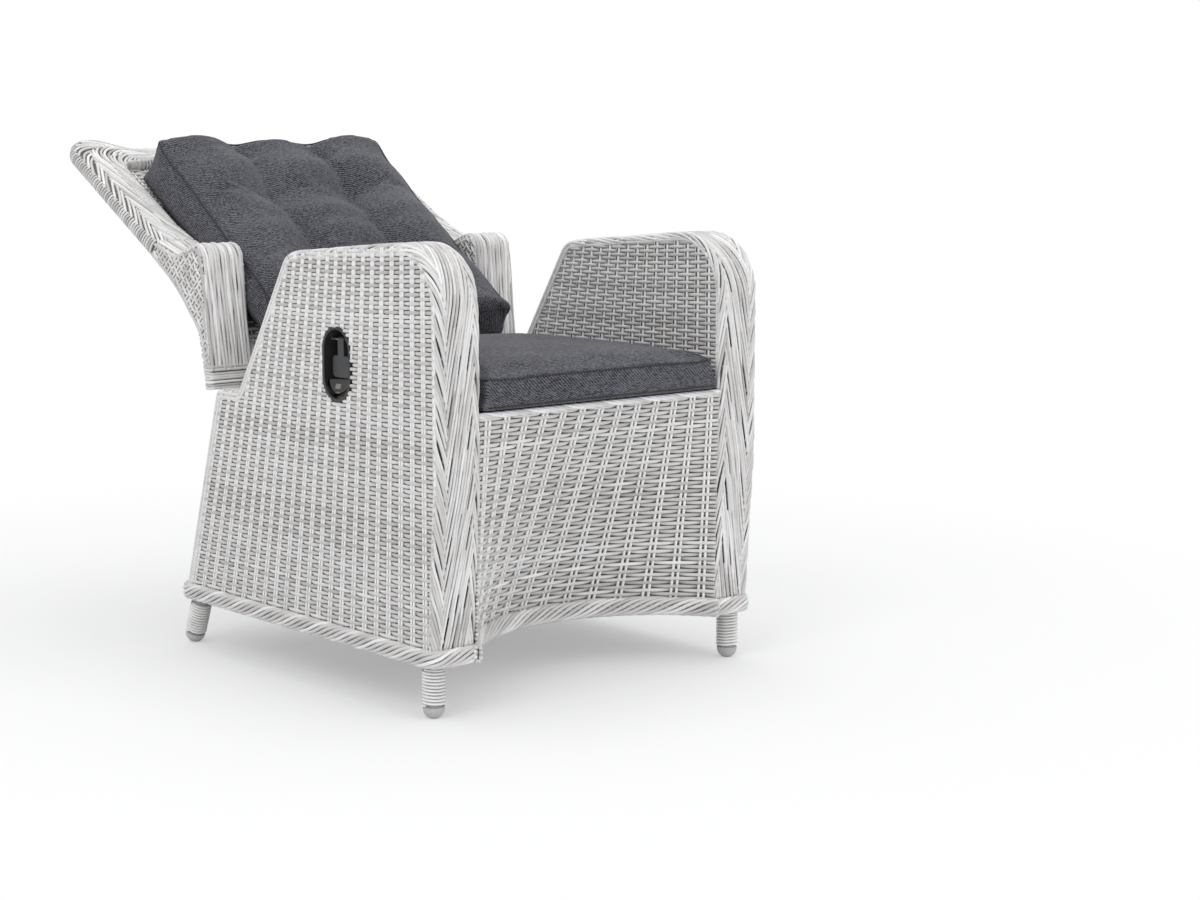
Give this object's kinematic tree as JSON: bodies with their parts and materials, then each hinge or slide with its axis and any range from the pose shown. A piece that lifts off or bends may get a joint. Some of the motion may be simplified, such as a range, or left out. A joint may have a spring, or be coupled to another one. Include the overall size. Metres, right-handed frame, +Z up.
{
  "type": "reclining garden armchair",
  "caption": "Woven resin garden armchair with a reclining back on a gas spring, a release lever in the arm, and loose seat and tufted back cushions.",
  "frame": {"origin": "on the floor, under the middle of the chair with its back fully reclined", "axes": "+X to the sitter's left, +Y to the rear, +Z up"},
  "size_m": [0.643, 1.0819, 0.8391],
  "materials": {
    "weave": "satin woven strand",
    "braid": "satin braided strand",
    "frame": "powder coated",
    "hardware": "powder coated",
    "steel": "zinc plated",
    "foot": "moulded, fine grain",
    "cushion": "melange twill",
    "rod": "polished",
    "cylinder": "gloss black",
    "black_plastic": "satin moulded",
    "lever": "satin moulded",
    "bowl": "dark chrome",
    "cable": "sheathed"
  },
  "bodies": {
    "base": {"arm_edging_left": "braid", "arm_edging_right": "braid", "arm_frame_left": "frame", "arm_frame_right": "frame", "arm_weave_left": "weave", "arm_weave_right": "weave", "border_front": "braid", "border_rear": "braid", "border_side_left": "braid", "border_side_right": "braid", "finger_bowl": "bowl", "foot_cap_front_left": "foot", "foot_cap_front_right": "foot", "foot_cap_rear_left": "foot", "foot_cap_rear_right": "foot", "front_low_bar": "frame", "front_panel": "weave", "gas_spring_rod": "rod", "leg_winding_front_left": "braid", "leg_winding_front_right": "braid", "leg_winding_rear_left": "braid", "leg_winding_rear_right": "braid", "lever_bezel": "black_plastic", "lever_cup": "black_plastic", "lever_pin": "steel", "pivot_nut_left": "steel", "pivot_nut_right": "steel", "pivot_stud_left": "steel", "pivot_stud_right": "steel", "rear_panel": "weave", "rear_rail_low": "frame", "rear_rail_top": "frame", "release_cable": "cable", "release_head": "black_plastic", "seat_cushion": "cushion", "seat_deck": "weave", "seat_rail_front": "frame", "seat_rail_rear": "frame", "seat_rail_side_left": "frame", "seat_rail_side_right": "frame", "spring_bracket": "hardware", "spring_rail": "frame"},
    "backrest": {"back_bar": "frame", "back_panel": "weave", "back_rim": "weave", "hinge_plate_left": "hardware", "hinge_plate_right": "hardware", "rim_frame": "frame", "spring_bar": "hardware", "spring_pin": "steel", "wing_frame_left": "frame", "wing_frame_right": "frame", "wing_left": "weave", "wing_right": "weave", "wing_wraps_left": "braid", "wing_wraps_right": "braid"},
    "back_cushion": {"back_cushion": "cushion"},
    "gas_cylinder": {"gas_spring_cylinder": "cylinder"},
    "release_lever": {"release_lever": "lever"}
  },
  "joints": [
    {"name": "recline", "type": "hinge", "parent": "base", "child": "backrest", "pos_m": [0, 0.01, 0.325], "axis": [1, 0, 0], "range_deg": [0, 38.5]},
    {"name": "cushion_ride", "type": "slide", "parent": "backrest", "child": "back_cushion", "axis": [0, 0.8434, 0.5373], "range_m": [0, 0.0601]},
    {"name": "spring_stroke", "type": "slide", "parent": "base", "child": "gas_cylinder", "axis": [0, 0.9863, 0.165], "range_m": [0, 0.04889]},
    {"name": "lever_pull", "type": "hinge", "parent": "base", "child": "release_lever", "pos_m": [-0.3015, -0.2895, 0.533], "axis": [0, 1, 0], "range_deg": [0, 25], "stiffness_Nm_per_rad": 0.3}
  ],
  "couplings": [
    {"joint": "cushion_ride", "follows": "recline", "m_per_rad": 0.089292},
    {"joint": "spring_stroke", "follows": "recline", "m_per_rad": 0.072616}
  ]
}
